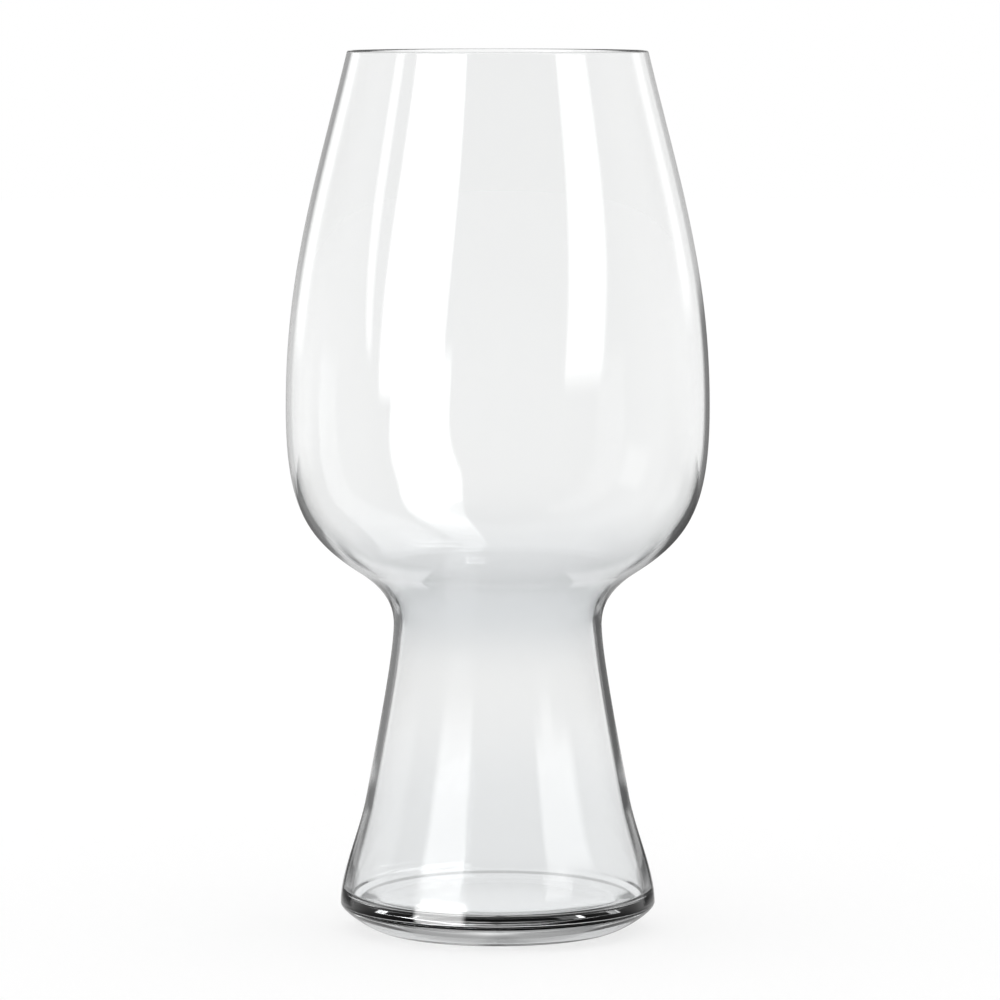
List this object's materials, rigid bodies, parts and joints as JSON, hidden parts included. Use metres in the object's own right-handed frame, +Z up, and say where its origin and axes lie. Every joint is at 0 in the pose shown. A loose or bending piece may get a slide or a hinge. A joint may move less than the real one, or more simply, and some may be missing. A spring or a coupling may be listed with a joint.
{
  "type": "stout glass",
  "caption": "Clear stemless stout glass: a tulip bowl that narrows to its rim, over a narrow open neck and a hollow flared foot with a thick base, for drinking beer.",
  "frame": {"origin": "on the upright axis, in the plane of the flat face that rests on the table", "axes": "+Z up along the axis of revolution, from the base to the rim; X and Y are any two level directions"},
  "size_m": [0.0866, 0.0866, 0.18],
  "materials": {
    "clear_glass": "clear, colourless, fire-polished"
  },
  "bodies": {
    "root": {"bowl": "clear_glass", "hollow_foot": "clear_glass", "base_plate": "clear_glass"}
  },
  "joints": []
}
